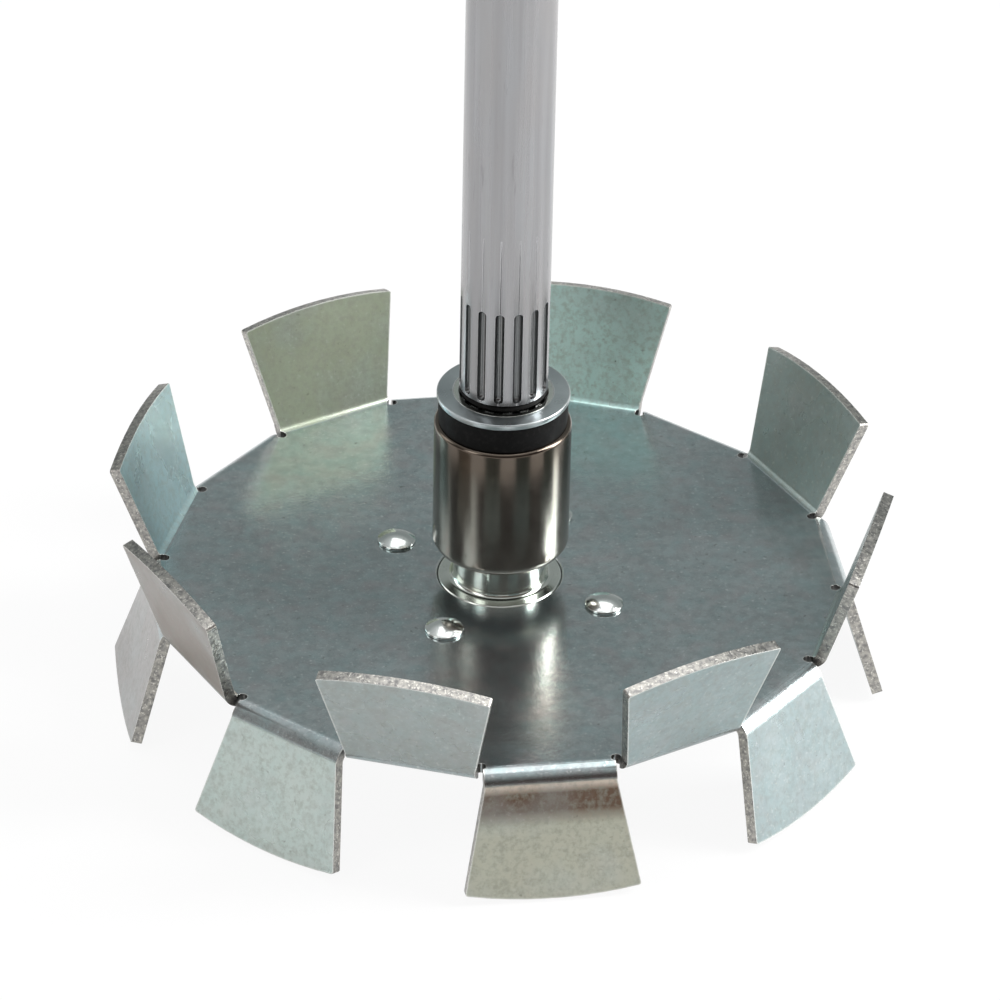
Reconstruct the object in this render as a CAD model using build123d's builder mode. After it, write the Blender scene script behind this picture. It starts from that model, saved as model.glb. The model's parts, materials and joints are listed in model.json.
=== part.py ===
from build123d import *
from math import cos, radians, sin, tan
import os

# A tank agitator: a sheet steel dispersing disc on a quick-release hub at the foot of a drive shaft.
# The origin is where the shaft's axis meets the plane that the downturned teeth stand on.
# +Z runs up the shaft. Sizes are in millimetres and angles in degrees.

# Dispersing disc: a round blank, slit into teeth that are bent up and down in turn.
sheet_thickness = 2.0
tooth_count = 16
fold_apothem = 62.0            # axis to the sharp corner where the two mid-planes would meet
blank_radius = 85.0            # the arc that the tooth tips are cut to, before bending
fold_angle = 73.0
fold_inner_radius = 1.5
slit_gap = 0.4                 # metal lost on each side of a slit
relief_radius = 0.9            # round notch at the root of each slit
tip_corner_radius = 0.5

# Drive shaft
shaft_radius = 8.0
shaft_length = 350.0
shaft_top_chamfer = 1.2
shaft_foot_chamfer = 0.8
flute_count = 15
flute_start_angle = 14.7
flute_radius = 0.8             # half the width of a flute, which has a round bottom
flute_depth = 1.0
flute_show = 20.5              # length of the flutes above the hub's mouth
flute_collar = 0.6             # plain rim left under the flutes, above the seal groove
spline_radius = 7.8            # the fluted end is turned down where it goes into the hub
spline_gap = 0.08              # between a flute and the rib that fills it
shaft_gap = 0.06               # between the shaft and the hub's bore

# Hub: a flange under the disc, a neck through it and a socket for the shaft.
flange_radius = 28.0
flange_thickness = 4.0
flange_chamfer = 0.8
spigot_radius = 11.3           # the step that centres the disc
centring_gap = 0.12
centring_chamfer = 0.2         # on the spigot's rim and the disc's hole
neck_base_radius = 8.6         # the neck tapers from here to its top
neck_top_radius = 7.8
neck_fillet = 1.0
neck_height = 8.6
socket_radius = 10.0
socket_shoulder = 2.2          # height of the cone that widens the neck into the socket
socket_height = 38.1           # disc's top to the shoulder that the washer sits on
bore_floor = 12.0              # disc's top to the foot of the bore
bore_point = 1.6               # depth of the drill point under the bore
mouth_chamfer = 0.5
washer_seat_radius = 9.0
centre_drill_radius = 2.0
centre_drill_depth = 2.4

# Rivets that hold the disc on the flange
rivet_count = 4
rivet_edge_distance = 6.6      # flange's rim to the rivets' centres
rivet_start_angle = 54.0
rivet_shank_radius = 2.0
rivet_hole_gap = 0.05
rivet_head_radius = 3.5
rivet_head_rim = 0.5           # height of the head's straight rim under its dome
rivet_head_dome = 1.1
rivet_tail_radius = 3.2
rivet_tail_height = 1.3
rivet_tail_chamfer = 0.5

# Ball lock
ball_count = 3
ball_radius = 1.5
ball_height = 18.0             # disc's top to the balls' centres
ball_bite = 0.8                # how far a locked ball reaches into the shaft
ball_travel = 1.1              # how far it moves out to free the shaft
ball_gap = 0.05
groove_gap = 0.1

# Lock sleeve
sleeve_radius = 12.4
sleeve_foot = 6.6              # disc's top to the sleeve's lower rim
sleeve_height = 26.6
sleeve_travel = 4.0
sleeve_gap = 0.1               # between the sleeve's bore and the socket
sleeve_foot_round = 2.2
sleeve_rim_round = 0.8
sleeve_lip_height = 5.0        # guide lip at the foot of the sleeve
ramp_above_ball = 0.3          # where the ball ramp starts, above the balls' centres
ramp_depth = 1.25
ramp_length = 4.6
chamber_floor = 21.0           # disc's top to the step that carries the spring
chamber_wall = 1.0             # sleeve wall around the spring

# Spring, boot, washer and seal
spring_wire_radius = 0.42
spring_gap = 0.1               # between the spring and the socket
spring_turns = 6.5
spring_end_gap = 0.05
boot_wall = 0.5
boot_inset = 0.8              # how far the boot's ends lie inside the sleeve's outer face
boot_bulge = 0.1
boot_end_gap = 0.05
washer_radius = 12.0
washer_thickness = 1.1
washer_edge_round = 0.25
washer_gap = 0.02
seal_cord_radius = 0.65
seal_groove_height = 1.4
seal_groove_depth = 2.0
seal_gap = 0.03

# Heights worked out from the sizes above
tooth_pitch = 360 / tooth_count
half_pitch = tooth_pitch / 2
fold_middle_radius = fold_inner_radius + sheet_thickness / 2
fold_setback = fold_middle_radius * tan(radians(fold_angle / 2))
fold_start = fold_apothem - fold_setback
tooth_length = blank_radius - fold_apothem
disc_middle = tooth_length * sin(radians(fold_angle)) + sheet_thickness / 2 * cos(radians(fold_angle))
disc_top = disc_middle + sheet_thickness / 2
disc_bottom = disc_middle - sheet_thickness / 2
flange_bottom = disc_bottom - flange_thickness
washer_bottom = disc_top + socket_height
hub_top = washer_bottom + washer_thickness
shaft_foot = disc_top + bore_floor + 0.3
shaft_top = shaft_foot + shaft_length
bore_radius = spline_radius + shaft_gap
ball_level = disc_top + ball_height
ball_centre = spline_radius - ball_bite + ball_radius
sleeve_bottom = disc_top + sleeve_foot
sleeve_top = sleeve_bottom + sleeve_height
sleeve_bore = socket_radius + sleeve_gap
spring_floor = disc_top + chamber_floor
chamber_radius = sleeve_radius - chamber_wall
flute_centre = shaft_radius - flute_depth + flute_radius
rivet_circle_radius = flange_radius - rivet_edge_distance

os.makedirs("parts", exist_ok=True)


def save(part, name):
    """Labels a finished piece and writes it to parts/ under its own name."""
    part.label = name
    export_step(part, f"parts/{name}.step")


# One tooth, bent up, with the disc's mid-plane at Z = 0. Its sides run out like the blank's slits.
root_half_width = fold_start * tan(radians(half_pitch)) - slit_gap / 2
side_slope = tan(radians(half_pitch))
tooth_plane = Plane(
    origin=(fold_apothem, 0, 0),
    x_dir=(cos(radians(fold_angle)), 0, sin(radians(fold_angle))),
    z_dir=(-sin(radians(fold_angle)), 0, cos(radians(fold_angle))),
)
with BuildPart() as tooth_up:
    with BuildSketch(Plane.YZ.offset(fold_start)):
        Rectangle(2 * root_half_width, sheet_thickness)
    revolve(
        axis=Axis((fold_start, 0, fold_middle_radius), (0, -1, 0)),
        revolution_arc=fold_angle,
    )
    with BuildSketch(tooth_plane) as outline:
        far_half_width = root_half_width + (tooth_length - fold_setback) * side_slope
        with BuildLine():
            Polyline(
                (fold_setback, -root_half_width),
                (tooth_length, -far_half_width),
                (tooth_length, far_half_width),
                (fold_setback, root_half_width),
                close=True,
            )
        make_face()
        with Locations((-fold_apothem, 0)):
            Circle(blank_radius, mode=Mode.INTERSECT)
        fillet(outline.vertices().group_by(Axis.X)[-1], tip_corner_radius)
    extrude(amount=sheet_thickness / 2, both=True)

# The disc: a flat middle with one straight side for each tooth, and the teeth around it.
with BuildPart() as mixing_disc:
    with BuildSketch(Plane.XY.offset(disc_bottom)):
        RegularPolygon(fold_start, tooth_count, major_radius=False, rotation=half_pitch)
        Circle(spigot_radius + centring_gap, mode=Mode.SUBTRACT)
        with PolarLocations(rivet_circle_radius, rivet_count, start_angle=rivet_start_angle):
            Circle(rivet_shank_radius + rivet_hole_gap, mode=Mode.SUBTRACT)
    extrude(amount=sheet_thickness)
    hole_edges = mixing_disc.edges().filter_by(GeomType.CIRCLE).group_by(SortBy.RADIUS)[-1]
    chamfer(hole_edges.sort_by(Axis.Z)[-1], centring_chamfer)
    teeth_up = tooth_up.part.moved(Location((0, 0, disc_middle)))
    teeth_down = mirror(tooth_up.part, about=Plane.XY, mode=Mode.PRIVATE).moved(Location((0, 0, disc_middle)))
    with PolarLocations(0, tooth_count // 2, start_angle=-90):
        add(teeth_down)
    with PolarLocations(0, tooth_count // 2, start_angle=tooth_pitch - 90):
        add(teeth_up)
    with BuildSketch(Plane.XY.offset(disc_bottom - fold_middle_radius)):
        with PolarLocations(fold_start / cos(radians(half_pitch)), tooth_count, start_angle=half_pitch):
            Circle(relief_radius)
    extrude(amount=sheet_thickness + 2 * fold_middle_radius, mode=Mode.SUBTRACT)
save(mixing_disc.part, "mixing_disc")

# Rivets: a low domed head above the disc, and a flattened tail under the flange.
with BuildPart() as rivet:
    with BuildSketch(Plane.XZ) as half_rivet:
        head_top = disc_top + rivet_head_rim
        with BuildLine():
            Polyline(
                (0, flange_bottom - rivet_tail_height),
                (rivet_tail_radius - rivet_tail_chamfer, flange_bottom - rivet_tail_height),
                (rivet_tail_radius, flange_bottom - rivet_tail_height + rivet_tail_chamfer),
                (rivet_tail_radius, flange_bottom),
                (rivet_shank_radius, flange_bottom),
                (rivet_shank_radius, disc_top),
                (rivet_head_radius, disc_top),
                (rivet_head_radius, head_top),
            )
            dome_radius = (rivet_head_radius**2 + rivet_head_dome**2) / (2 * rivet_head_dome)
            RadiusArc((rivet_head_radius, head_top), (0, head_top + rivet_head_dome), -dome_radius)
            Line((0, head_top + rivet_head_dome), (0, flange_bottom - rivet_tail_height))
        make_face()
    revolve(axis=Axis.Z)
rivet_places = PolarLocations(rivet_circle_radius, rivet_count, start_angle=rivet_start_angle)
for number, place in enumerate(rivet_places, start=1):
    save(rivet.part.moved(place), f"hub_rivet_{number}")

# Hub: turned in one piece. Ribs in its bore fill the shaft's flutes.
with BuildPart() as hub_socket:
    with BuildSketch(Plane.XZ):
        with BuildLine():
            Polyline(
                (0, flange_bottom),
                (flange_radius - flange_chamfer, flange_bottom),
                (flange_radius, flange_bottom + flange_chamfer),
                (flange_radius, disc_bottom - flange_chamfer),
                (flange_radius - flange_chamfer, disc_bottom),
                (spigot_radius, disc_bottom),
                (spigot_radius, disc_top - centring_chamfer),
                (spigot_radius - centring_chamfer, disc_top),
                (neck_base_radius + neck_fillet, disc_top),
            )
            RadiusArc(
                (neck_base_radius + neck_fillet, disc_top),
                (neck_base_radius, disc_top + neck_fillet),
                neck_fillet,
            )
            Polyline(
                (neck_base_radius, disc_top + neck_fillet),
                (neck_top_radius, disc_top + neck_height),
                (socket_radius, disc_top + neck_height + socket_shoulder),
                (socket_radius, washer_bottom),
                (washer_seat_radius, washer_bottom),
                (washer_seat_radius, hub_top),
                (bore_radius + mouth_chamfer, hub_top),
                (bore_radius, hub_top - mouth_chamfer),
                (bore_radius, disc_top + bore_floor),
                (0, disc_top + bore_floor - bore_point),
                (0, flange_bottom),
            )
        make_face()
    revolve(axis=Axis.Z)
    with BuildSketch(Plane.XY.offset(disc_top + bore_floor)):
        with PolarLocations(flute_centre, flute_count, start_angle=flute_start_angle):
            Circle(flute_radius - spline_gap)
        with BuildSketch(mode=Mode.PRIVATE) as bore_ring:
            Circle(bore_radius + mouth_chamfer / 2)
            Circle(shaft_radius - flute_depth + spline_gap, mode=Mode.SUBTRACT)
        add(bore_ring.sketch, mode=Mode.INTERSECT)
    extrude(amount=hub_top - mouth_chamfer - seal_gap - disc_top - bore_floor)
    with PolarLocations(rivet_circle_radius, rivet_count, start_angle=rivet_start_angle):
        with Locations((0, 0, flange_bottom + flange_thickness / 2)):
            Cylinder(rivet_shank_radius + rivet_hole_gap, 2 * flange_thickness, mode=Mode.SUBTRACT)
    with PolarLocations(socket_radius, ball_count):
        with Locations(Location((0, 0, ball_level), (0, 90, 0))):
            Cylinder(ball_radius + ball_gap, 2 * (socket_radius - ball_centre) + 2 * ball_radius, mode=Mode.SUBTRACT)
    with Locations((0, 0, flange_bottom)):
        Cone(
            centre_drill_radius,
            0,
            centre_drill_depth,
            align=(Align.CENTER, Align.CENTER, Align.MIN),
            mode=Mode.SUBTRACT,
        )
save(hub_socket.part, "hub_socket")

# Drive shaft: a plain bar with flutes milled in its lower end, a seal groove and a ball groove.
with BuildPart() as drive_shaft:
    with BuildSketch(Plane.XY.offset(shaft_foot)):
        Circle(shaft_radius)
    extrude(amount=shaft_length)
    chamfer(drive_shaft.faces().sort_by(Axis.Z)[-1].edges(), shaft_top_chamfer)
    with BuildSketch(Plane.XY.offset(shaft_foot)):
        Circle(shaft_radius)
        Circle(spline_radius, mode=Mode.SUBTRACT)
    extrude(amount=hub_top + seal_gap + seal_groove_height / 2 - shaft_foot, mode=Mode.SUBTRACT)
    chamfer(drive_shaft.faces().sort_by(Axis.Z)[0].edges(), shaft_foot_chamfer)
    flute_top = hub_top + flute_show - flute_radius
    groove_top = hub_top + seal_gap + seal_groove_height
    flute_foot = groove_top + flute_collar + flute_radius
    for low_end, high_end in ((shaft_foot, groove_top), (flute_foot, flute_top)):
        with BuildSketch(Plane.XY.offset(low_end)):
            with PolarLocations(flute_centre, flute_count, start_angle=flute_start_angle):
                Circle(flute_radius)
                with Locations((flute_radius, 0)):
                    Rectangle(2 * flute_radius, 2 * flute_radius)
        extrude(amount=high_end - low_end, mode=Mode.SUBTRACT)
    with PolarLocations(flute_centre, flute_count, start_angle=flute_start_angle):
        with Locations((0, 0, flute_foot), (0, 0, flute_top)):
            Sphere(flute_radius, mode=Mode.SUBTRACT)
    with BuildSketch(Plane.XZ):
        with Locations((ball_centre, ball_level)):
            Circle(ball_radius + groove_gap)
        with Locations((shaft_radius, groove_top - seal_groove_height / 2)):
            Rectangle(2 * seal_groove_depth, seal_groove_height)
    revolve(axis=Axis.Z, mode=Mode.SUBTRACT)
save(drive_shaft.part, "drive_shaft")

# Balls, locked in the shaft's groove
with BuildPart() as lock_ball:
    with Locations((0, 0, ball_level)):
        Sphere(ball_radius)
for number, place in enumerate(PolarLocations(ball_centre, ball_count), start=1):
    save(lock_ball.part.moved(place), f"lock_ball_{number}")

# Lock sleeve: a guide lip, a ramp that lets the balls out as it lifts, a land and a spring chamber
with BuildPart() as lock_sleeve:
    ramp_top = ball_level + ramp_above_ball
    with BuildSketch(Plane.XZ):
        with BuildLine():
            RadiusArc(
                (sleeve_radius - sleeve_foot_round, sleeve_bottom),
                (sleeve_radius, sleeve_bottom + sleeve_foot_round),
                -sleeve_foot_round,
            )
            Polyline(
                (sleeve_radius, sleeve_bottom + sleeve_foot_round),
                (sleeve_radius, sleeve_top - sleeve_rim_round),
            )
            RadiusArc(
                (sleeve_radius, sleeve_top - sleeve_rim_round),
                (sleeve_radius - sleeve_rim_round, sleeve_top),
                -sleeve_rim_round,
            )
            Polyline(
                (sleeve_radius - sleeve_rim_round, sleeve_top),
                (chamber_radius, sleeve_top),
                (chamber_radius, spring_floor),
                (sleeve_bore, spring_floor),
                (sleeve_bore, ramp_top),
                (sleeve_bore + ramp_depth, ramp_top - ramp_length),
                (sleeve_bore + ramp_depth, sleeve_bottom + sleeve_lip_height),
                (sleeve_bore, sleeve_bottom + sleeve_lip_height),
                (sleeve_bore, sleeve_bottom),
                (sleeve_radius - sleeve_foot_round, sleeve_bottom),
            )
        make_face()
    revolve(axis=Axis.Z)
save(lock_sleeve.part, "lock_sleeve")

# Spring between the sleeve's step and the washer
spring_radius = socket_radius + spring_gap + spring_wire_radius
spring_start = spring_floor + spring_end_gap + spring_wire_radius
spring_rise = washer_bottom - spring_end_gap - spring_wire_radius - spring_start
with BuildPart() as sleeve_spring:
    with BuildLine():
        coil = Helix(spring_rise / spring_turns, spring_rise, spring_radius, center=(0, 0, spring_start))
    with BuildSketch(Plane(origin=coil @ 0, z_dir=coil % 0)):
        Circle(spring_wire_radius)
    sweep(is_frenet=True)
save(sleeve_spring.part, "sleeve_spring")

# Rubber boot that closes the gap between the sleeve and the washer
with BuildPart() as dust_boot:
    boot_foot = sleeve_top + boot_end_gap
    boot_head = washer_bottom - boot_end_gap
    boot_middle = (boot_foot + boot_head) / 2
    boot_outer = sleeve_radius - boot_inset
    with BuildSketch(Plane.XZ):
        with BuildLine():
            ThreePointArc(
                (boot_outer, boot_foot),
                (boot_outer + boot_bulge, boot_middle),
                (boot_outer, boot_head),
            )
            Line((boot_outer, boot_head), (boot_outer - boot_wall, boot_head))
            ThreePointArc(
                (boot_outer - boot_wall, boot_head),
                (boot_outer - boot_wall + boot_bulge, boot_middle),
                (boot_outer - boot_wall, boot_foot),
            )
            Line((boot_outer - boot_wall, boot_foot), (boot_outer, boot_foot))
        make_face()
    revolve(axis=Axis.Z)
save(dust_boot.part, "dust_boot")

# Washer on the hub's mouth, which backs the spring and stops the sleeve
with BuildPart() as spring_washer:
    with BuildSketch(Plane.XY.offset(washer_bottom)):
        Circle(washer_radius)
        Circle(washer_seat_radius + washer_gap, mode=Mode.SUBTRACT)
    extrude(amount=washer_thickness)
    fillet(spring_washer.edges().filter_by(GeomType.CIRCLE).group_by(SortBy.RADIUS)[-1], washer_edge_round)
save(spring_washer.part, "spring_washer")

# Rubber ring in the shaft's groove, which keeps paint out of the splines
with BuildPart() as seal_ring:
    seal_centre = shaft_radius - seal_groove_depth + seal_cord_radius + seal_gap
    with BuildSketch(Plane.XZ):
        with Locations((seal_centre, hub_top + seal_gap + seal_groove_height / 2)):
            Circle(seal_cord_radius)
    revolve(axis=Axis.Z)
save(seal_ring.part, "seal_ring")
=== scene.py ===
import json
import math

import bmesh
import bpy
from mathutils import Matrix, Vector

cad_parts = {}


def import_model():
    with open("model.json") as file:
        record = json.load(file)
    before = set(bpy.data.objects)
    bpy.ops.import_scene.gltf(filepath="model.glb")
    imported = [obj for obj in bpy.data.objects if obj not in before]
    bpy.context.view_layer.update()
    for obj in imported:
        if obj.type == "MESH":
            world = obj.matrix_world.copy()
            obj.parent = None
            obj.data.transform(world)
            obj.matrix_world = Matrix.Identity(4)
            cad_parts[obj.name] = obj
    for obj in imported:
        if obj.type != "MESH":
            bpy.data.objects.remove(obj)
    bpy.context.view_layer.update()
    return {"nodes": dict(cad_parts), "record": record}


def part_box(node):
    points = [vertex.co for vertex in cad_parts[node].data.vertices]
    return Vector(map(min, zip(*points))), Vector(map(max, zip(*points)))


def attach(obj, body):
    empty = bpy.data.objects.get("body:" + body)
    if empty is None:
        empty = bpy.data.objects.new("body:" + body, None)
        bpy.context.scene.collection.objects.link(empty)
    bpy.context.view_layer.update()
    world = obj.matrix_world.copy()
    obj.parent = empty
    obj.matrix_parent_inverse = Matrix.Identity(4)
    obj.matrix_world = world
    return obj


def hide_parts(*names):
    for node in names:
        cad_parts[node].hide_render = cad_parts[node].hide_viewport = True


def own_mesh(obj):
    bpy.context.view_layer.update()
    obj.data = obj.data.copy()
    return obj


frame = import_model()

# Sizes are in metres. Z runs up the shaft, and -Y points at the middle of one downturned tooth.
MM = 0.001
nodes = frame["nodes"]
bodies = {node: body for body, members in frame["record"]["behaviour"]["bodies"].items() for node in members}
hub_low, hub_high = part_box("hub_socket")
sleeve_low, sleeve_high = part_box("lock_sleeve")
washer_low, washer_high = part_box("spring_washer")
disc_low, disc_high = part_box("mixing_disc")
disc_middle = (disc_low[2] + disc_high[2]) / 2
sheet = 2 * MM
deck = disc_middle + sheet / 2
TEETH = 16
FOLD_ANGLE = math.radians(73)
FLAT_RISE = 1.05 * MM           # nearer the sheet's middle than this is the flat disc
# The pale band on the front tooth's fold is a painted highlight on the bend.
FOLD_HIGHLIGHT_RISE = 2.8 * MM            # rise to which the front tooth's fold is pale
BROWN_BAND = 6.5 * MM           # rise to which it is brown
BLADE_CUTS = (3, 6, 9, 14)      # rises in mm at which the teeth are cut across
BLADE_TIP = 17 * MM             # past this rise, an outward face is a tooth's tip
HUB_AREA = 24 * MM              # inside this radius lie the hub's hole and the rivets' holes


# ---------------------------------------------------------------- materials
class Nodes:
    """A short way to write a material's nodes."""

    def __init__(self, name):
        self.material = bpy.data.materials.new(name)
        self.material.use_nodes = True
        self.tree = self.material.node_tree
        self.shader = self.tree.nodes["Principled BSDF"]
        self.place = self.add("ShaderNodeTexCoord").outputs["Object"]

    def add(self, kind, **settings):
        node = self.tree.nodes.new(kind)
        for key, value in settings.items():
            setattr(node, key, value)
        return node

    def link(self, source, target):
        self.tree.links.new(source, target)

    def noise(self, scale, detail=3.0, stretch=(1, 1, 1), rough=0.5, at=(0, 0, 0)):
        mapping = self.add("ShaderNodeMapping")
        mapping.inputs["Scale"].default_value = stretch
        mapping.inputs["Location"].default_value = at
        self.link(self.place, mapping.inputs["Vector"])
        node = self.add("ShaderNodeTexNoise")
        node.inputs["Scale"].default_value = scale
        node.inputs["Detail"].default_value = detail
        node.inputs["Roughness"].default_value = rough
        self.link(mapping.outputs["Vector"], node.inputs["Vector"])
        return node.outputs["Fac"]

    def height(self):
        """Height up the part, in metres."""
        place = self.add("ShaderNodeTexCoord")
        parts = self.add("ShaderNodeSeparateXYZ")
        self.link(place.outputs["Object"], parts.inputs[0])
        return parts.outputs["Z"]

    def spread(self, value, low, high, to_low=0.0, to_high=1.0):
        node = self.add("ShaderNodeMapRange")
        node.inputs["From Min"].default_value = low
        node.inputs["From Max"].default_value = high
        node.inputs["To Min"].default_value = to_low
        node.inputs["To Max"].default_value = to_high
        self.link(value, node.inputs["Value"])
        return node.outputs["Result"]

    def mix(self, share, first, second):
        """A colour between two: each is an (r, g, b) or an output."""
        node = self.add("ShaderNodeMix", data_type="RGBA")
        for value, target in ((first, node.inputs[6]), (second, node.inputs[7])):
            if isinstance(value, tuple):
                target.default_value = (*value, 1)
            else:
                self.link(value, target)
        if isinstance(share, float):
            node.inputs[0].default_value = share
        else:
            self.link(share, node.inputs[0])
        return node.outputs[2]

    def maths(self, operation, first, second=0.0):
        node = self.add("ShaderNodeMath", operation=operation)
        for value, target in ((first, node.inputs[0]), (second, node.inputs[1])):
            if isinstance(value, (int, float)):
                target.default_value = value
            else:
                self.link(value, target)
        return node.outputs[0]

    def bump(self, height, distance, strength=1.0, normal=None):
        node = self.add("ShaderNodeBump")
        node.inputs["Distance"].default_value = distance
        node.inputs["Strength"].default_value = strength
        self.link(height, node.inputs["Height"])
        if normal is not None:
            self.link(normal, node.inputs["Normal"])
        return node.outputs["Normal"]

    def edges(self, radius):
        """1 on sharp edges, 0 on open faces: most materials lighten these as edge wear, the sleeve as a painted
        rim highlight.
        """
        bevel = self.add("ShaderNodeBevel", samples=4)
        bevel.inputs["Radius"].default_value = radius
        geometry = self.add("ShaderNodeNewGeometry")
        dot = self.add("ShaderNodeVectorMath", operation="DOT_PRODUCT")
        self.link(bevel.outputs["Normal"], dot.inputs[0])
        self.link(geometry.outputs["Normal"], dot.inputs[1])
        return self.spread(dot.outputs["Value"], 0.995, 0.9)

    def painted_hollow_shade(self, distance):
        """1 in recesses and 0 in the open: a mask for painting shade into recesses."""
        shade = self.add("ShaderNodeAmbientOcclusion", samples=6, only_local=True)
        shade.inputs["Distance"].default_value = distance
        return self.spread(shade.outputs["AO"], 0.92, 0.55)

    def finish(self, colour, roughness, metallic=1.0, normal=None):
        if isinstance(colour, tuple):
            self.shader.inputs["Base Color"].default_value = (*colour, 1)
        else:
            self.link(colour, self.shader.inputs["Base Color"])
        if isinstance(roughness, float):
            self.shader.inputs["Roughness"].default_value = roughness
        else:
            self.link(roughness, self.shader.inputs["Roughness"])
        if isinstance(metallic, float):
            self.shader.inputs["Metallic"].default_value = metallic
        else:
            self.link(metallic, self.shader.inputs["Metallic"])
        if normal is not None:
            self.link(normal, self.shader.inputs["Normal"])
        return self.material


def zinc_plate():
    """Blue-white zinc on rolled sheet: cloudy, finely speckled, and stained by its passivation, with a painted
    pale highlight on the front tooth's fold.
    """
    n = Nodes("zinc plate")
    clouds = n.spread(n.noise(28, 5), 0.30, 0.72)
    colour = n.mix(clouds, (0.38, 0.43, 0.435), (0.50, 0.555, 0.56))
    mottle = n.spread(n.noise(480, 4, rough=0.65, at=(0.3, 0.6, 0.2)), 0.40, 0.62)
    colour = n.mix(n.maths("MULTIPLY", mottle, 0.5), colour, (0.29, 0.33, 0.335))
    teal = n.spread(n.noise(260, 4, at=(0.7, 0.1, 0)), 0.42, 0.75, 0, 0.5)
    colour = n.mix(teal, colour, (0.36, 0.50, 0.51))
    mauve = n.spread(n.noise(210, 4, at=(0.2, 0.9, 0.4)), 0.48, 0.78, 0, 0.4)
    colour = n.mix(mauve, colour, (0.47, 0.40, 0.41))
    # The tooth tint holds each tooth's stain and the painted highlight on the front tooth's fold.
    tint = n.add("ShaderNodeAttribute", attribute_name="tooth tint")
    patchy = n.spread(n.noise(75, 4, at=(0.5, 0.5, 0.1)), 0.2, 0.55, 0.5, 1.0)
    share = n.maths("MULTIPLY", tint.outputs["Alpha"], patchy)
    colour = n.mix(share, colour, tint.outputs["Color"])
    speckle = n.spread(n.noise(850, 3, rough=0.7, at=(0.8, 0.4, 0.6)), 0.44, 0.66, 0, 0.6)
    colour = n.mix(n.maths("MULTIPLY", speckle, share), colour, (0.24, 0.25, 0.21))
    bright = n.spread(n.noise(1500, 1.0, at=(0.1, 0, 0)), 0.62, 0.80, 0, 0.5)
    bright = n.maths("MULTIPLY", bright, n.maths("SUBTRACT", 1.0, share))
    colour = n.mix(bright, colour, (0.74, 0.77, 0.76))
    pits = n.spread(n.noise(1000, 2, at=(0, 0.2, 0)), 0.68, 0.80, 0, 0.55)
    colour = n.mix(pits, colour, (0.13, 0.12, 0.10))
    colour = n.mix(n.edges(0.5 * MM), colour, (0.80, 0.81, 0.78))
    rough = n.spread(n.noise(60, 4, at=(0.2, 0.2, 0)), 0.3, 0.7, 0.15, 0.25)
    rough = n.maths("ADD", rough, n.maths("MULTIPLY", share, 0.16))
    metallic = n.spread(share, 0.0, 1.0, 0.94, 0.45)
    fine = n.bump(n.noise(1500, 2), 0.03 * MM, 0.5)
    wavy = n.bump(n.noise(90, 1), 0.08 * MM, 0.5, fine)
    return n.finish(colour, rough, metallic, wavy)


def sheared_edge():
    """The torn side of punched sheet: warm, rough metal with fine tears, painted bright glints and painted shade
    in its recesses.
    """
    n = Nodes("sheared edge")
    grain = n.noise(1300, 3)
    colour = n.mix(n.spread(grain, 0.35, 0.62), (0.24, 0.235, 0.23), (0.46, 0.445, 0.41))
    # Painted glints: sparse bright specks stand in for light caught by the torn metal.
    painted_glints = n.spread(n.noise(2300, 1, at=(0.3, 0.1, 0)), 0.58, 0.70, 0, 0.6)
    colour = n.mix(painted_glints, colour, (0.90, 0.88, 0.80))
    # Painted shade: the relief holes and other recesses are darkened.
    colour = n.mix(n.painted_hollow_shade(2 * MM), colour, (0.13, 0.13, 0.13))
    rough = n.spread(n.noise(600, 2), 0.3, 0.7, 0.22, 0.42)
    return n.finish(colour, rough, normal=n.bump(grain, 0.09 * MM, 0.6))


def turned_zinc(name, dark, light, rough_low, rough_high):
    """Zinc over turned steel: shiny, with fine rings round Z."""
    n = Nodes(name)
    colour = n.mix(n.spread(n.noise(90, 3), 0.35, 0.65), dark, light)
    pits = n.spread(n.noise(1400, 1.5), 0.70, 0.80, 0, 0.6)
    colour = n.mix(pits, colour, (0.20, 0.19, 0.17))
    colour = n.mix(n.edges(0.35 * MM), colour, (0.88, 0.88, 0.86))
    rings = n.noise(1800, 2, stretch=(0.02, 0.02, 1))
    rough = n.spread(n.noise(140, 3, at=(0.4, 0, 0)), 0.3, 0.7, rough_low, rough_high)
    return n.finish(colour, rough, normal=n.bump(rings, 0.01 * MM, 0.5))


def satin_shaft():
    """Ground bar: satin, with faint streaks along Z and short scratches."""
    n = Nodes("satin shaft")
    streaks = n.noise(500, 3, stretch=(1, 1, 0.02))
    colour = n.mix(n.spread(streaks, 0.35, 0.65), (0.305, 0.308, 0.318), (0.39, 0.398, 0.412))
    clouds = n.spread(n.noise(130, 5, stretch=(1, 1, 0.3)), 0.35, 0.7, 0, 0.6)
    colour = n.mix(clouds, colour, (0.355, 0.34, 0.335))
    scratches = n.spread(n.noise(800, 2, stretch=(1, 1, 0.12), at=(0.3, 0.2, 0)), 0.66, 0.76, 0, 0.3)
    colour = n.mix(scratches, colour, (0.16, 0.15, 0.16))
    # Painted shade: the flutes and other recesses are darkened.
    colour = n.mix(n.painted_hollow_shade(3 * MM), colour, (0.15, 0.155, 0.155))
    colour = n.mix(n.edges(0.15 * MM), colour, (0.70, 0.70, 0.72))
    rough = n.spread(streaks, 0.3, 0.7, 0.20, 0.32)
    return n.finish(colour, rough, normal=n.bump(streaks, 0.012 * MM, 0.5))


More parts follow.
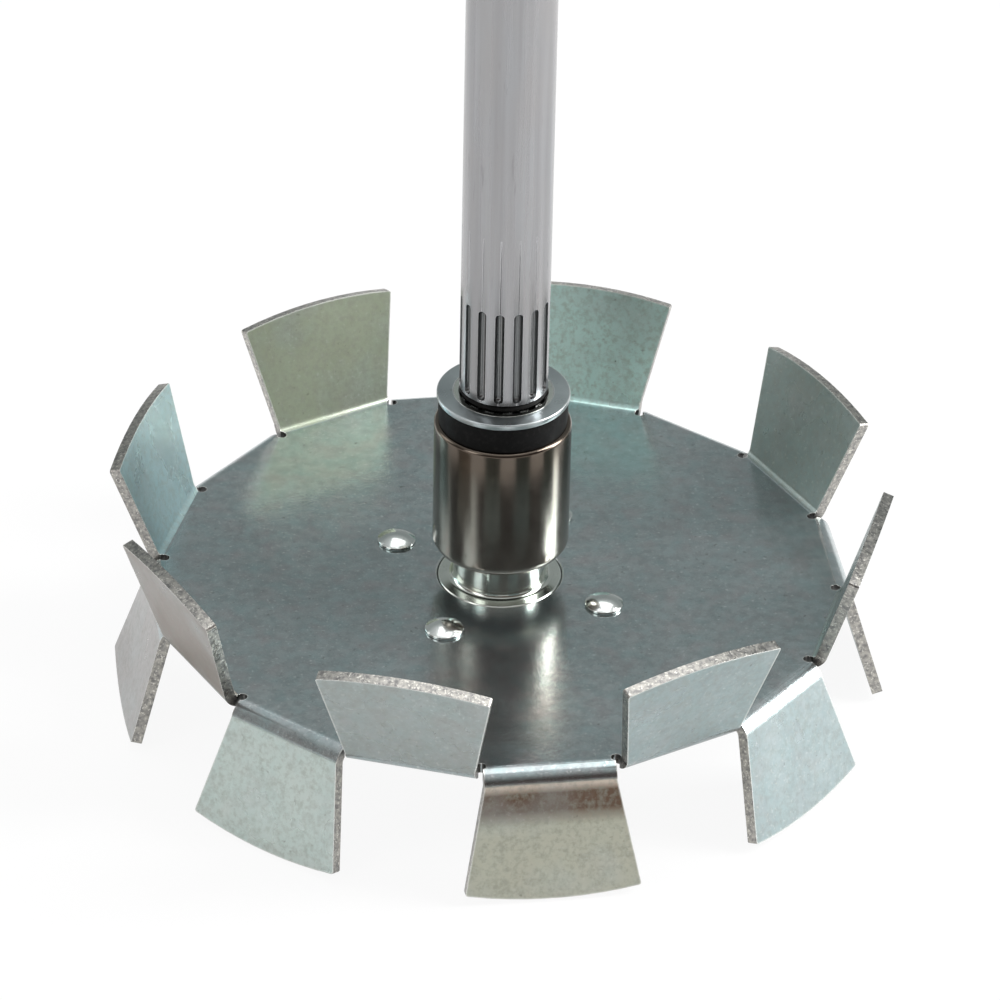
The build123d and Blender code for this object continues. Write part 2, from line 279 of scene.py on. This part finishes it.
def polished_sleeve():
    """Polished plate, with faint haze, hairlines and pin-prick pits, painted shade darkening its upper part and a
    painted reddish highlight on its rims and edges.
    """
    n = Nodes("polished sleeve")
    haze = n.spread(n.noise(70, 4), 0.35, 0.7)
    colour = n.mix(haze, (0.27, 0.245, 0.215), (0.35, 0.325, 0.29))
    # Painted shade: the sleeve is darkened towards its top, standing in for the dark reflection there.
    painted_top_shade = n.spread(n.height(), deck + 12 * MM, deck + 29 * MM, 0, 0.85)
    colour = n.mix(painted_top_shade, colour, (0.10, 0.078, 0.06))
    pits = n.spread(n.noise(1100, 1.0), 0.72, 0.80, 0, 0.8)
    colour = n.mix(pits, colour, (0.15, 0.11, 0.09))
    # Painted highlight: the sleeve's rims and sharp edges are lightened to a bright reddish colour.
    colour = n.mix(n.edges(0.25 * MM), colour, (0.80, 0.66, 0.60))
    rough = n.spread(n.noise(260, 3), 0.35, 0.7, 0.15, 0.2)
    hairlines = n.noise(900, 2, stretch=(0.05, 0.05, 1))
    return n.finish(colour, rough, normal=n.bump(hairlines, 0.004 * MM, 0.4))


def black_rubber_and_gap_shade():
    """Moulded rubber, with dust in its grain, coloured darker than rubber as painted shade for the dark gap
    between washer and sleeve.
    """
    n = Nodes("black rubber and gap shade")
    grain = n.noise(1200, 3)
    # Painted shade: the near-black is darker than rubber's own colour, standing in for the shade in the gap under
    # the washer.
    colour = n.mix(n.spread(grain, 0.5, 0.75), (0.003, 0.003, 0.003), (0.012, 0.011, 0.011))
    rough = n.spread(n.noise(300, 2), 0.3, 0.7, 0.55, 0.7)
    n.shader.inputs["Specular IOR Level"].default_value = 0.15
    return n.finish(colour, rough, metallic=0.0, normal=n.bump(grain, 0.03 * MM, 0.5))


def drawn_wire():
    """Oiled spring wire, with drawing marks."""
    n = Nodes("drawn wire")
    marks = n.noise(1500, 2)
    colour = n.mix(n.spread(marks, 0.35, 0.65), (0.22, 0.21, 0.20), (0.42, 0.41, 0.39))
    rough = n.spread(n.noise(300, 2), 0.3, 0.7, 0.25, 0.4)
    return n.finish(colour, rough, normal=n.bump(marks, 0.01 * MM, 0.5))


zinc = zinc_plate()
edge = sheared_edge()
hub_zinc = turned_zinc("turned zinc", (0.56, 0.60, 0.55), (0.72, 0.75, 0.70), 0.12, 0.24)
washer_zinc = turned_zinc("washer zinc", (0.36, 0.405, 0.415), (0.48, 0.53, 0.54), 0.26, 0.38)
rivet_zinc = turned_zinc("rivet zinc", (0.58, 0.62, 0.60), (0.75, 0.78, 0.76), 0.12, 0.22)
ball_steel = turned_zinc("ball steel", (0.70, 0.70, 0.70), (0.82, 0.82, 0.82), 0.05, 0.10)
shaft_steel = satin_shaft()
chrome = polished_sleeve()
rubber = black_rubber_and_gap_shade()
wire = drawn_wire()


# ---------------------------------------------------------------- pieces
def bevel(piece, width, segments=3, angle=35):
    """Rounds the piece's sharp edges."""
    modifier = piece.modifiers.new("rounded edges", "BEVEL")
    modifier.width = width
    modifier.segments = segments
    modifier.limit_method = "ANGLE"
    modifier.angle_limit = math.radians(angle)
    modifier.use_clamp_overlap = True
    return modifier


def remade(node, material, rounding, smooth=30):
    """A cleaned copy of a CAD node's mesh, with flat faces joined up and sharp edges rounded."""
    mesh = nodes[node].data.copy()
    mesh.name = node + " skin"
    work = bmesh.new()
    work.from_mesh(mesh)
    bmesh.ops.remove_doubles(work, verts=work.verts, dist=0.002 * MM)
    bmesh.ops.dissolve_limit(
        work, angle_limit=math.radians(0.5), verts=work.verts, edges=work.edges, use_dissolve_boundaries=False
    )
    work.to_mesh(mesh)
    work.free()
    mesh.materials.clear()
    mesh.materials.append(material)
    mesh.shade_smooth()
    mesh.set_sharp_from_angle(angle=math.radians(smooth))
    piece = bpy.data.objects.new(node + "_skin", mesh)
    bpy.context.scene.collection.objects.link(piece)
    if rounding:
        bevel(piece, rounding)
    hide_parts(node)
    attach(piece, bodies[node])
    return piece


def slice_blades(mesh):
    """Cuts the teeth across at a few heights, so that a stain can fade along a tooth."""
    work = bmesh.new()
    work.from_mesh(mesh)
    for rise in BLADE_CUTS:
        for upward in (1, -1):
            bmesh.ops.bisect_plane(
                work,
                geom=work.verts[:] + work.edges[:] + work.faces[:],
                plane_co=(0, 0, disc_middle + upward * rise * MM),
                plane_no=(0, 0, 1),
            )
    work.to_mesh(mesh)
    work.free()


def tooth_at(point):
    """The tooth at a point: 0 is the front one, odd numbers are upturned and even ones are downturned."""
    turns = (math.atan2(point.y, point.x) + math.pi / 2) * TEETH / (2 * math.pi)
    rise = point.z - disc_middle
    if abs(rise) < FLAT_RISE:
        return round(turns) % TEETH
    upturned = 1 if rise > 0 else 0
    return (2 * round((turns - upturned) / 2) + upturned) % TEETH


def is_sheared(centre, normal):
    """True for a face that the shears or the punch cut, and False for a face of the rolled sheet."""
    number = tooth_at(centre)
    middle = number * 2 * math.pi / TEETH - math.pi / 2
    radial = Vector((math.cos(middle), math.sin(middle), 0))
    side = Vector((-radial.y, radial.x, 0))
    radius = math.hypot(centre.x, centre.y)
    if radius < HUB_AREA:
        return abs(normal.z) < 0.5
    if abs(normal.dot(side)) > 0.3:
        return True
    upward = 1 if number % 2 else -1
    along = radial * math.cos(FOLD_ANGLE) + Vector((0, 0, upward)) * math.sin(FOLD_ANGLE)
    return abs(centre.z - disc_middle) > BLADE_TIP and normal.dot(along) > 0.5


# Each tooth's stain, counted counter-clockwise from the front tooth: one flat colour, and its strength.
TOOTH_STAINS = {
    0: ((0.44, 0.44, 0.345), 0.85),
    1: ((0.21, 0.28, 0.285), 0.65),
    2: ((0.24, 0.31, 0.32), 0.6),
    3: ((0.18, 0.25, 0.23), 0.6),
    4: ((0.40, 0.43, 0.37), 0.5),
    5: ((0.17, 0.23, 0.21), 0.7),
    7: ((0.48, 0.74, 0.69), 0.75),
    9: ((0.26, 0.295, 0.195), 0.85),
    11: ((0.25, 0.42, 0.45), 0.65),
    12: ((0.47, 0.43, 0.42), 0.7),
    13: ((0.22, 0.155, 0.12), 0.8),
    14: ((0.62, 0.72, 0.66), 0.6),
    15: ((0.26, 0.29, 0.275), 0.6),
}


def stain_teeth_and_paint_fold_highlight(mesh):
    """Paints each tooth's stain on its vertices, with a painted pale highlight on the bend of the front tooth's
    fold and a brown band below it.
    """
    layer = mesh.color_attributes.new("tooth tint", "FLOAT_COLOR", "POINT")
    for vertex, value in zip(mesh.vertices, layer.data):
        number = tooth_at(vertex.co)
        rise = abs(vertex.co.z - disc_middle)
        colour, strength = TOOTH_STAINS.get(number, ((0.5, 0.55, 0.55), 0.0))
        if rise < FLAT_RISE:
            strength = 0.0
        # Painted highlight: the bend of the front tooth's fold is painted pale; below it lies a brown stain.
        elif number == 0 and rise < FOLD_HIGHLIGHT_RISE:
            colour, strength = (0.66, 0.56, 0.46), 0.85
        elif number == 0 and rise < BROWN_BAND:
            colour, strength = (0.11, 0.062, 0.035), 0.97
        value.color = (*colour, strength)


def disc():
    """The toothed disc: rolled sheet with rough sheared edges."""
    piece = remade("mixing_disc", zinc, 0.3 * MM, 35)
    slice_blades(piece.data)
    stain_teeth_and_paint_fold_highlight(piece.data)
    piece.data.materials.append(edge)
    for face in piece.data.polygons:
        if is_sheared(face.center, face.normal):
            face.material_index = 1
    return piece


def smooth_piece(name, verts, faces, material, sharp):
    """A smooth-shaded object, with edges left sharp past an angle in degrees."""
    mesh = bpy.data.meshes.new(name)
    mesh.from_pydata(verts, [], faces)
    mesh.materials.append(material)
    mesh.shade_smooth()
    mesh.set_sharp_from_angle(angle=math.radians(sharp))
    piece = bpy.data.objects.new(name, mesh)
    bpy.context.scene.collection.objects.link(piece)
    return piece


def revolved(name, profile, material, steps=96, closed=True):
    """A mesh made by turning (radius, height) points round Z."""
    verts = []
    faces = []
    count = len(profile)
    for step in range(steps):
        turn = 2 * math.pi * step / steps
        for radius, height in profile:
            verts.append((radius * math.cos(turn), radius * math.sin(turn), height))
    rows = count if closed else count - 1
    for step in range(steps):
        for row in range(rows):
            first = step * count
            second = (step + 1) % steps * count
            after = (row + 1) % count
            faces.append((first + row, second + row, second + after, first + after))
    return smooth_piece(name, verts, faces, material, 40)


def tube_along(name, points, radius, material, sides=14):
    """A wire of round section along a list of points, with flat ends."""
    verts = []
    faces = []
    for index, point in enumerate(points):
        before = points[max(index - 1, 0)]
        after = points[min(index + 1, len(points) - 1)]
        along = (after - before).normalized()
        outward = Vector((point.x, point.y, 0)).normalized()
        outward = (outward - along * outward.dot(along)).normalized()
        across = along.cross(outward)
        for side in range(sides):
            turn = 2 * math.pi * side / sides
            verts.append(point + (outward * math.cos(turn) + across * math.sin(turn)) * radius)
    for index in range(len(points) - 1):
        for side in range(sides):
            after = (side + 1) % sides
            first = index * sides
            second = first + sides
            faces.append((first + side, first + after, second + after, second + side))
    faces.append(tuple(reversed(range(sides))))
    faces.append(tuple(range((len(points) - 1) * sides, len(points) * sides)))
    return smooth_piece(name, verts, faces, material, 50)


def taking_place(piece, node, rounding=0.0):
    """The piece stands for a CAD node and rides on the node's body."""
    if rounding:
        bevel(piece, rounding)
    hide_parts(node)
    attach(piece, bodies[node])
    return piece


def arc(centre, radius, start, end, steps=10):
    """Points of an arc in a profile, from one angle to another in degrees."""
    points = []
    for step in range(steps + 1):
        turn = math.radians(start + (end - start) * step / steps)
        points.append((centre[0] + radius * math.cos(turn), centre[1] + radius * math.sin(turn)))
    return points


SOCKET_RADIUS = 10 * MM
SPIGOT_RADIUS = 11.3 * MM
SHAFT_RADIUS = 8 * MM
SPLINE_RADIUS = 7.8 * MM
FLUTES = 15
FLUTE_START = math.radians(14.7)
FLUTE_RADIUS = 0.8 * MM
FLUTE_CENTRE = SHAFT_RADIUS - 1.0 * MM + FLUTE_RADIUS
SEAL_GROOVE_LOW = hub_high[2] + 0.03 * MM
SEAL_GROOVE_HIGH = SEAL_GROOVE_LOW + 1.4 * MM
FLUTE_TOP = hub_high[2] + 20.5 * MM - FLUTE_RADIUS
FLUTE_FOOT = SEAL_GROOVE_HIGH + 0.6 * MM + FLUTE_RADIUS


def shaft_wall(turn, height, full_radius):
    """The shaft's radius at a turn and height: the plain wall, or the floor of a flute."""
    past_end = max(height - FLUTE_TOP, 0.0)
    if height > SEAL_GROOVE_LOW:
        past_end = max(past_end, FLUTE_FOOT - height)
    cutter = math.sqrt(max(FLUTE_RADIUS ** 2 - past_end ** 2, 0.0))
    pitch = 2 * math.pi / FLUTES
    off = (turn - FLUTE_START + pitch / 2) % pitch - pitch / 2
    inside = cutter ** 2 - (FLUTE_CENTRE * math.sin(off)) ** 2
    if inside <= 0:
        return full_radius
    floor_radius = FLUTE_CENTRE * math.cos(off) - math.sqrt(inside)
    return min(full_radius, floor_radius)


def shaft():
    """The drive shaft, from its fluted foot to its chamfered top, without the hidden ball groove."""
    low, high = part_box("drive_shaft")[0][2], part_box("drive_shaft")[1][2]
    lip = math.asin(FLUTE_RADIUS / SHAFT_RADIUS)
    pitch = 2 * math.pi / FLUTES
    turns = []
    for flute in range(FLUTES):
        middle = FLUTE_START + flute * pitch
        in_flute = [lip * 0.999 * math.sin(math.pi / 2 * k / 9) for k in range(-9, 10)]
        on_land = [lip * 1.012, lip * 1.05, (pitch / 2) * 0.72, pitch / 2, pitch - (pitch / 2) * 0.72]
        on_land += [pitch - lip * 1.05, pitch - lip * 1.012]
        turns += [middle + off for off in in_flute + on_land]
    heights = [(low, SPLINE_RADIUS - 0.8 * MM), (low + 0.8 * MM, SPLINE_RADIUS)]
    heights += [(SEAL_GROOVE_LOW, SPLINE_RADIUS)]
    heights += [(SEAL_GROOVE_LOW, 6 * MM), (SEAL_GROOVE_HIGH, 6 * MM)]
    rim = 0.15 * MM
    heights += [(SEAL_GROOVE_HIGH, SHAFT_RADIUS - rim), (SEAL_GROOVE_HIGH + rim, SHAFT_RADIUS)]
    for step in range(11):
        heights.append((FLUTE_FOOT - FLUTE_RADIUS * math.cos(math.pi / 2 * step / 10), SHAFT_RADIUS))
    for step in range(11):
        heights.append((FLUTE_TOP + FLUTE_RADIUS * math.sin(math.pi / 2 * step / 10), SHAFT_RADIUS))
    plain = FLUTE_TOP + FLUTE_RADIUS
    for step in range(1, 21):
        heights.append((plain + (high - 1.3 * MM - plain) * step / 20, SHAFT_RADIUS))
    heights += [(high - 1.15 * MM, SHAFT_RADIUS - 0.04 * MM), (high - 0.1 * MM, SHAFT_RADIUS - 1.1 * MM)]
    heights += [(high, SHAFT_RADIUS - 1.25 * MM)]
    verts = []
    for height, full in heights:
        for turn in turns:
            radius = shaft_wall(turn, height, full)
            verts.append((radius * math.cos(turn), radius * math.sin(turn), height))
    count = len(turns)
    faces = []
    for row in range(len(heights) - 1):
        for column in range(count):
            after = (column + 1) % count
            first = row * count
            faces.append((first + column, first + after, first + count + after, first + count + column))
    faces.append(tuple(reversed(range(count))))
    faces.append(tuple(range((len(heights) - 1) * count, len(heights) * count)))
    return taking_place(smooth_piece("shaft", verts, faces, shaft_steel, 34), "drive_shaft")


def hub():
    """The hub: flange, spigot, tapered neck and socket, without the ball, rib and rivet cuts that the CAD has."""
    low, high = hub_low[2], hub_high[2]
    flange = hub_high[0]
    under = deck - sheet
    bore = SPLINE_RADIUS + 0.06 * MM
    floor = deck + 12 * MM
    neck_top = deck + 8.6 * MM
    chamfer = 0.8 * MM
    profile = [(0, low + 2.4 * MM), (2 * MM, low), (flange - chamfer, low), (flange, low + chamfer)]
    profile += [(flange, under - chamfer), (flange - chamfer, under), (SPIGOT_RADIUS, under)]
    profile += [(SPIGOT_RADIUS, deck - 0.2 * MM), (11.1 * MM, deck)]
    profile += arc((9.6 * MM, deck + 1 * MM), 1 * MM, 270, 180)
    profile += [(SPLINE_RADIUS, neck_top), (SOCKET_RADIUS, neck_top + 2.2 * MM)]
    profile += [(SOCKET_RADIUS, washer_low[2])]
    profile += [(9 * MM, washer_low[2]), (9 * MM, high), (bore + 0.2 * MM, high), (bore, high - 0.2 * MM)]
    profile += [(bore, floor), (0, floor - 1.6 * MM)]
    return taking_place(revolved("hub", profile, hub_zinc, 128, closed=False), "hub_socket", 0.06 * MM)


def sleeve():
    """The lock sleeve: a rounded foot, a thin rim and the inside that the spring and balls need."""
    low, high = sleeve_low[2], sleeve_high[2]
    outer = sleeve_high[0]
    bore = 10.1 * MM
    ramp_top = deck + 18.3 * MM
    step = deck + 21 * MM
    chamber = outer - 1 * MM
    foot_round = 2.2 * MM
    rim_round = 0.8 * MM
    profile = arc((outer - foot_round, low + foot_round), foot_round, 270, 360, 16)
    profile += [(outer, low + 8 * MM)]
    profile += arc((outer - rim_round, high - rim_round), rim_round, 0, 90)
    profile += [(chamber, high)]
    profile += [(chamber, step), (bore, step), (bore, ramp_top), (bore + 1.25 * MM, ramp_top - 4.6 * MM)]
    profile += [(bore + 1.25 * MM, low + 5 * MM), (bore, low + 5 * MM), (bore, low)]
    return taking_place(revolved("sleeve", profile, chrome, 144), "lock_sleeve", 0.08 * MM)


def washer():
    """The washer, with soft rims."""
    outer = washer_high[0]
    inner = 9.02 * MM
    edge_round = 0.25 * MM
    profile = [(inner, washer_low[2])]
    profile += arc((outer - edge_round, washer_low[2] + edge_round), edge_round, 270, 360, 5)
    profile += arc((outer - edge_round, washer_high[2] - edge_round), edge_round, 0, 90, 5)
    profile += [(inner, washer_high[2])]
    return taking_place(revolved("washer", profile, washer_zinc, 144), "spring_washer")


def seal():
    """The rubber ring in the shaft's groove."""
    seal_low, seal_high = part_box("seal_ring")
    inner = 6.03 * MM
    outer = 7.9 * MM
    middle = (seal_high[2] + seal_low[2]) / 2
    half_height = (seal_high[2] - seal_low[2]) / 2
    half_width = (outer - inner) / 2
    profile = []
    for step in range(24):
        turn = 2 * math.pi * step / 24
        profile.append((inner + half_width * (1 + math.cos(turn)), middle + half_height * math.sin(turn)))
    return taking_place(revolved("seal", profile, rubber), "seal_ring")


def rivet(number):
    """A rivet: a low dome above the disc and a flattened tail under the flange."""
    low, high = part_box(f"hub_rivet_{number}")
    centre = ((low[0] + high[0]) / 2, (low[1] + high[1]) / 2)
    head = 3.5 * MM
    rim = deck + 0.5 * MM
    rise = high[2] - rim
    dome = (head ** 2 + rise ** 2) / (2 * rise)
    tail = 3.2 * MM
    under = hub_low[2]
    shank = 2 * MM
    profile = [(0, low[2]), (tail - 0.5 * MM, low[2]), (tail, low[2] + 0.5 * MM), (tail, under)]
    profile += [(shank, under), (shank, deck), (head - 0.1 * MM, deck), (head, deck + 0.1 * MM)]
    start = math.degrees(math.asin((dome - rise) / dome))
    profile += arc((0, high[2] - dome), dome, start, 90, 12)
    piece = revolved(f"rivet_{number}", profile, rivet_zinc, 48, closed=False)
    piece.data.transform(Matrix.Translation((centre[0], centre[1], 0)))
    return taking_place(piece, f"hub_rivet_{number}", 0.08 * MM)


disc()
shaft()
hub()
sleeve()
washer()
seal()
for number in (1, 2, 3, 4):
    rivet(number)
for number in (1, 2, 3):
    remade(f"lock_ball_{number}", ball_steel, 0)

boot_low, boot_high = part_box("dust_boot")
spring_low, spring_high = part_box("sleeve_spring")


def boot():
    """The rubber boot, with soft ends and a slight bulge."""
    bulge = 0.1 * MM
    outer = boot_high[0] - bulge
    wall = 0.5 * MM
    low = boot_low[2]
    high = boot_high[2]
    steps = 12
    outside = []
    inside = []
    for step in range(steps + 1):
        share = step / steps
        swell = bulge * math.sin(math.pi * share)
        height = low + (high - low) * share
        outside.append((outer + swell, height))
        inside.append((outer - wall + swell, height))
    piece = revolved("boot", outside + inside[::-1], rubber)
    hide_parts("dust_boot")
    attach(piece, "rotor")
    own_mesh(piece)
    return piece


def spring():
    """The spring, from the sleeve's step to the washer, at an even pitch and with flat-cut ends."""
    wire_radius = 0.42 * MM
    mean_radius = spring_high[0] - wire_radius
    turns = 6.5
    low = spring_low[2] + wire_radius
    high = spring_high[2] - wire_radius
    points = []
    steps = int(turns * 40)
    for step in range(steps + 1):
        share = step / steps
        turn = 2 * math.pi * turns * share
        points.append(Vector((
            mean_radius * math.cos(turn), mean_radius * math.sin(turn), low + (high - low) * share
        )))
    piece = tube_along("spring", points, wire_radius, wire)
    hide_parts("sleeve_spring")
    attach(piece, "rotor")
    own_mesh(piece)
    return piece


boot()
spring()


# ---------------------------------------------------------------- floor, light and camera
def floor():
    """A plain pale floor."""
    half = 3.0
    seen_glow = 0.92
    mirrored_glow = 0.6
    mesh = bpy.data.meshes.new("floor")
    corners = [(-half, -half, 0), (half, -half, 0), (half, half, 0), (-half, half, 0)]
    mesh.from_pydata(corners, [], [(0, 1, 2, 3)])
    n = Nodes("floor")
    light_path = n.add("ShaderNodeLightPath")
    emission = n.add("ShaderNodeEmission")
    emission.inputs["Color"].default_value = (1, 1, 1, 1)
    shown = n.add("ShaderNodeMixShader")
    seen = n.maths("MAXIMUM", light_path.outputs["Is Camera Ray"], light_path.outputs["Is Transmission Ray"])
    seen = n.maths("MULTIPLY", seen, seen_glow)
    glossy = n.maths("MULTIPLY", light_path.outputs["Is Glossy Ray"], mirrored_glow)
    share = n.maths("MAXIMUM", seen, glossy)
    n.finish((0.86, 0.86, 0.86), 0.9, metallic=0.0)
    n.link(share, shown.inputs[0])
    n.link(n.shader.outputs[0], shown.inputs[1])
    n.link(emission.outputs[0], shown.inputs[2])
    output = n.tree.nodes["Material Output"]
    n.link(shown.outputs[0], output.inputs["Surface"])
    mesh.materials.append(n.material)
    piece = bpy.data.objects.new("floor", mesh)
    bpy.context.scene.collection.objects.link(piece)


def lamp(name, place, target, size, watts, colour=(1, 1, 1)):
    """A soft rectangular lamp at a place, facing a target."""
    light = bpy.data.lights.new(name, "AREA")
    light.shape = "RECTANGLE"
    light.size, light.size_y = size
    light.energy = watts
    light.color = colour
    piece = bpy.data.objects.new(name, light)
    piece.location = place
    piece.rotation_euler = (Vector(target) - Vector(place)).to_track_quat("-Z", "Y").to_euler()
    bpy.context.scene.collection.objects.link(piece)


def world():
    """A soft room: a grey far side, a pale top, and a near side that is dim and warm above a pale horizon."""
    sky = bpy.data.worlds.new("room")
    sky.use_nodes = True
    tree = sky.node_tree
    background = tree.nodes["Background"]
    place = tree.nodes.new("ShaderNodeTexCoord")
    parts = tree.nodes.new("ShaderNodeSeparateXYZ")
    tree.links.new(place.outputs["Generated"], parts.inputs[0])

    def bands(stops):
        """Colours by height in the room, from straight down at -1 to straight up at 1."""
        share = tree.nodes.new("ShaderNodeMapRange")
        share.inputs["From Min"].default_value = -1
        tree.links.new(parts.outputs["Z"], share.inputs["Value"])
        ramp = tree.nodes.new("ShaderNodeValToRGB")
        tree.links.new(share.outputs["Result"], ramp.inputs[0])
        elements = ramp.color_ramp.elements
        elements[0].position = (stops[0][0] + 1) / 2
        elements[0].color = (*stops[0][1], 1)
        elements[1].position = (stops[-1][0] + 1) / 2
        elements[1].color = (*stops[-1][1], 1)
        for height, colour in stops[1:-1]:
            element = elements.new((height + 1) / 2)
            element.color = (*colour, 1)
        return ramp.outputs["Color"]

    near = bands([
        (-0.1, (0.72, 0.72, 0.71)), (0.12, (0.64, 0.63, 0.62)), (0.26, (0.09, 0.055, 0.045)),
        (0.55, (0.07, 0.045, 0.04)), (0.75, (0.35, 0.34, 0.33)), (0.95, (0.85, 0.86, 0.87)),
    ])
    far = bands([
        (-0.1, (0.45, 0.46, 0.46)), (0.2, (0.34, 0.36, 0.36)), (0.6, (0.30, 0.325, 0.325)),
        (0.9, (0.66, 0.67, 0.68)),
    ])
    depth = tree.nodes.new("ShaderNodeMapRange")
    depth.inputs["From Min"].default_value = -0.2
    depth.inputs["From Max"].default_value = 0.5
    tree.links.new(parts.outputs["Y"], depth.inputs["Value"])
    both = tree.nodes.new("ShaderNodeMix")
    both.data_type = "RGBA"
    tree.links.new(depth.outputs["Result"], both.inputs[0])
    tree.links.new(near, both.inputs[6])
    tree.links.new(far, both.inputs[7])
    tree.links.new(both.outputs[2], background.inputs["Color"])
    background.inputs["Strength"].default_value = 1.0
    bpy.context.scene.world = sky


def camera():
    """A long lens, from above the near side, a little to the left and tipped over by a degree."""
    azimuth = math.radians(-8.89)
    elevation = math.radians(33.59)
    roll = math.radians(1.25)
    distance = 1.2028
    centre = Vector((0, 0, deck))
    back = Vector((
        math.sin(azimuth) * math.cos(elevation),
        -math.cos(azimuth) * math.cos(elevation),
        math.sin(elevation),
    ))
    right = Vector((math.cos(azimuth), math.sin(azimuth), 0))
    up = back.cross(right)
    tipped_right = right * math.cos(roll) + up * math.sin(roll)
    tipped_up = up * math.cos(roll) - right * math.sin(roll)
    lens = bpy.data.cameras.new("camera")
    lens.lens = 237.34
    lens.sensor_width = 36
    lens.shift_x = 0.0004
    lens.shift_y = 0.0725
    lens.clip_start = 0.05
    lens.clip_end = 20
    piece = bpy.data.objects.new("camera", lens)
    turned = Matrix((tipped_right, tipped_up, back)).transposed().to_4x4()
    piece.matrix_world = Matrix.Translation(centre + back * distance) @ turned
    bpy.context.scene.collection.objects.link(piece)
    bpy.context.scene.camera = piece


floor()
world()
aim = (0, 0, deck)
lamp("right window", (1.034, -0.075, 0.6), aim, (0.42, 1.2), 25)
lamp("left fill", (-0.9, -0.5, 0.7), aim, (0.4, 0.7), 2.2)
lamp("left rim", (-0.9, 0.45, 0.5), aim, (0.4, 0.7), 1.5)
lamp("top", (0.1, 0.25, 1.3), aim, (0.9, 0.9), 4)
camera()
bpy.context.scene.view_settings.view_transform = "Standard"
